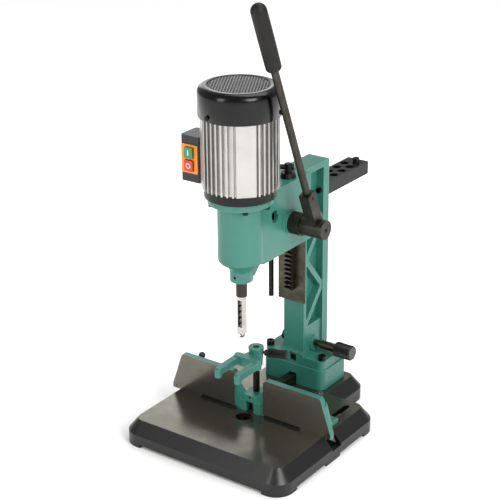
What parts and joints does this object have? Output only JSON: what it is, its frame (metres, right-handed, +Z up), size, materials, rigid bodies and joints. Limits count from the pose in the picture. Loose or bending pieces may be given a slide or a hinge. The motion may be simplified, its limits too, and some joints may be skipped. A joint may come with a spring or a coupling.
{
  "type": "bench mortising machine",
  "caption": "Benchtop hollow-chisel mortising machine: cast base, column, sliding motor head with square chisel, feed lever, rack-driven fence and fork hold-down.",
  "frame": {"origin": "on the bench surface, straight under the spindle axis", "axes": "+Z up along the spindle, +X to the operator's right, -Y towards the operator"},
  "size_m": [0.35, 0.511, 0.8222],
  "materials": {
    "base_paint": "satin black baked enamel on cast iron, ground table top",
    "green_paint": "teal green machine enamel on cast iron",
    "black_screws": "black oxide",
    "machined_steel": "milled and oiled",
    "bright_steel": "ground",
    "bronze": "sintered bronze",
    "copper_winding": "varnished copper wire in laminations",
    "black_paint": "satin black enamel",
    "black_gloss": "gloss black enamel on pressed sheet",
    "cast_aluminium": "satin die-cast",
    "black_plastic": "polished phenolic",
    "orange_plastic": "moulded",
    "green_button": "moulded",
    "red_button": "moulded",
    "dark_steel": "chemically blackened, oiled"
  },
  "bodies": {
    "frame": {"base_casting": "base_paint", "riser_block": "green_paint", "column": "green_paint", "foot_bolts": "black_screws", "slide_plate": "machined_steel", "slide_plate_screws": "black_screws", "feed_rack": "machined_steel", "feed_rack_screws": "black_screws", "tool_holder": "black_paint", "tool_holder_screws": "black_screws"},
    "head": {"head_casting": "green_paint", "gib_strip": "machined_steel", "gib_screws": "black_screws", "chisel_bushing": "bright_steel", "chisel_set_screw": "black_screws", "mortising_chisel": "bright_steel", "motor_housing": "cast_aluminium", "lower_end_bell": "black_paint", "upper_end_bell": "black_paint", "motor_flange_bolts": "black_screws", "fan_cover": "black_gloss", "fan_cover_screws": "black_screws", "stator": "copper_winding", "lower_bearing": "bright_steel", "upper_bearing": "bright_steel", "switch_box": "black_paint", "switch_plate": "orange_plastic", "pinion_bushes": "bronze"},
    "spindle": {"rotor": "bright_steel", "cooling_fan": "black_plastic", "chuck": "bright_steel", "auger_bit": "bright_steel"},
    "feed_lever": {"feed_pinion": "machined_steel", "pinion_shaft": "bright_steel", "shaft_collar": "dark_steel", "lever_hub": "dark_steel", "hub_screw": "black_screws", "arm_set_screw": "black_screws", "lever_rod": "dark_steel", "lever_grip": "black_plastic"},
    "on_button": {"on_button": "green_button"},
    "off_button": {"off_button": "red_button"},
    "fence": {"fence": "green_paint", "fence_bar": "machined_steel", "fence_bar_screws": "black_screws", "fence_studs": "dark_steel", "hold_down_post": "dark_steel", "post_set_screw": "black_screws"},
    "fence_knob": {"fence_pinion_shaft": "machined_steel", "fence_knob": "black_plastic", "fence_shaft_collar": "dark_steel"},
    "lock_lever_left": {"lock_lever_left": "dark_steel", "lock_ball_left": "black_plastic"},
    "lock_lever_right": {"lock_lever_right": "dark_steel", "lock_ball_right": "black_plastic"},
    "hold_down": {"hold_down_fork": "green_paint"},
    "hold_down_screw": {"hold_down_screw": "dark_steel"},
    "depth_rod": {"depth_rod": "dark_steel"},
    "depth_lock_knob": {"depth_lock_knob": "black_plastic"},
    "head_lock_handle": {"head_lock_handle": "dark_steel"}
  },
  "joints": [
    {"name": "head_slide", "type": "slide", "parent": "frame", "child": "head", "axis": [0, 0, 1], "range_m": [-0.079, 0]},
    {"name": "spindle_turn", "type": "hinge", "parent": "head", "child": "spindle", "pos_m": [0, 0, 0.5], "axis": [0, 0, 1], "continuous": true},
    {"name": "lever_turn", "type": "hinge", "parent": "head", "child": "feed_lever", "pos_m": [0, 0.1, 0.3975], "axis": [1, 0, 0], "range_deg": [0, 111]},
    {"name": "on_button_press", "type": "slide", "parent": "head", "child": "on_button", "axis": [0, 1, 0], "range_m": [0, 0.003], "stiffness_N_per_m": 900},
    {"name": "off_button_press", "type": "slide", "parent": "head", "child": "off_button", "axis": [0, 1, 0], "range_m": [0, 0.003], "stiffness_N_per_m": 900},
    {"name": "fence_slide", "type": "slide", "parent": "frame", "child": "fence", "axis": [0, 1, 0], "range_m": [-0.012, 0.035]},
    {"name": "fence_knob_turn", "type": "hinge", "parent": "frame", "child": "fence_knob", "pos_m": [0, 0.2, 0.119], "axis": [1, 0, 0], "range_deg": [-52, 149]},
    {"name": "lock_lever_left_turn", "type": "hinge", "parent": "fence", "child": "lock_lever_left", "pos_m": [-0.133, 0.066, 0.0543], "axis": [0, 0, 1], "range_deg": [-60, 60]},
    {"name": "lock_lever_right_turn", "type": "hinge", "parent": "fence", "child": "lock_lever_right", "pos_m": [0.133, 0.066, 0.0543], "axis": [0, 0, 1], "range_deg": [-60, 60]},
    {"name": "hold_down_slide", "type": "slide", "parent": "fence", "child": "hold_down", "axis": [0, 0, 1], "range_m": [-0.048, 0]},
    {"name": "hold_down_screw_turn", "type": "hinge", "parent": "hold_down", "child": "hold_down_screw", "pos_m": [0, 0.042, 0.159], "axis": [0.9397, 0.342, 0], "range_deg": [-180, 0]},
    {"name": "depth_rod_slide", "type": "slide", "parent": "head", "child": "depth_rod", "axis": [0, 0, 1], "range_m": [-0.015, 0.04]},
    {"name": "depth_lock_turn", "type": "hinge", "parent": "head", "child": "depth_lock_knob", "pos_m": [-0.0562, 0.163, 0.4025], "axis": [1, 0, 0], "range_deg": [-180, 0]},
    {"name": "head_lock_turn", "type": "hinge", "parent": "head", "child": "head_lock_handle", "pos_m": [0.018, 0.116, 0.491], "axis": [0, 0, 1], "range_deg": [-25, 25]}
  ],
  "couplings": [
    {"joint": "lever_turn", "follows": "head_slide", "rad_per_m": -24.242},
    {"joint": "fence_knob_turn", "follows": "fence_slide", "rad_per_m": 74.074}
  ]
}
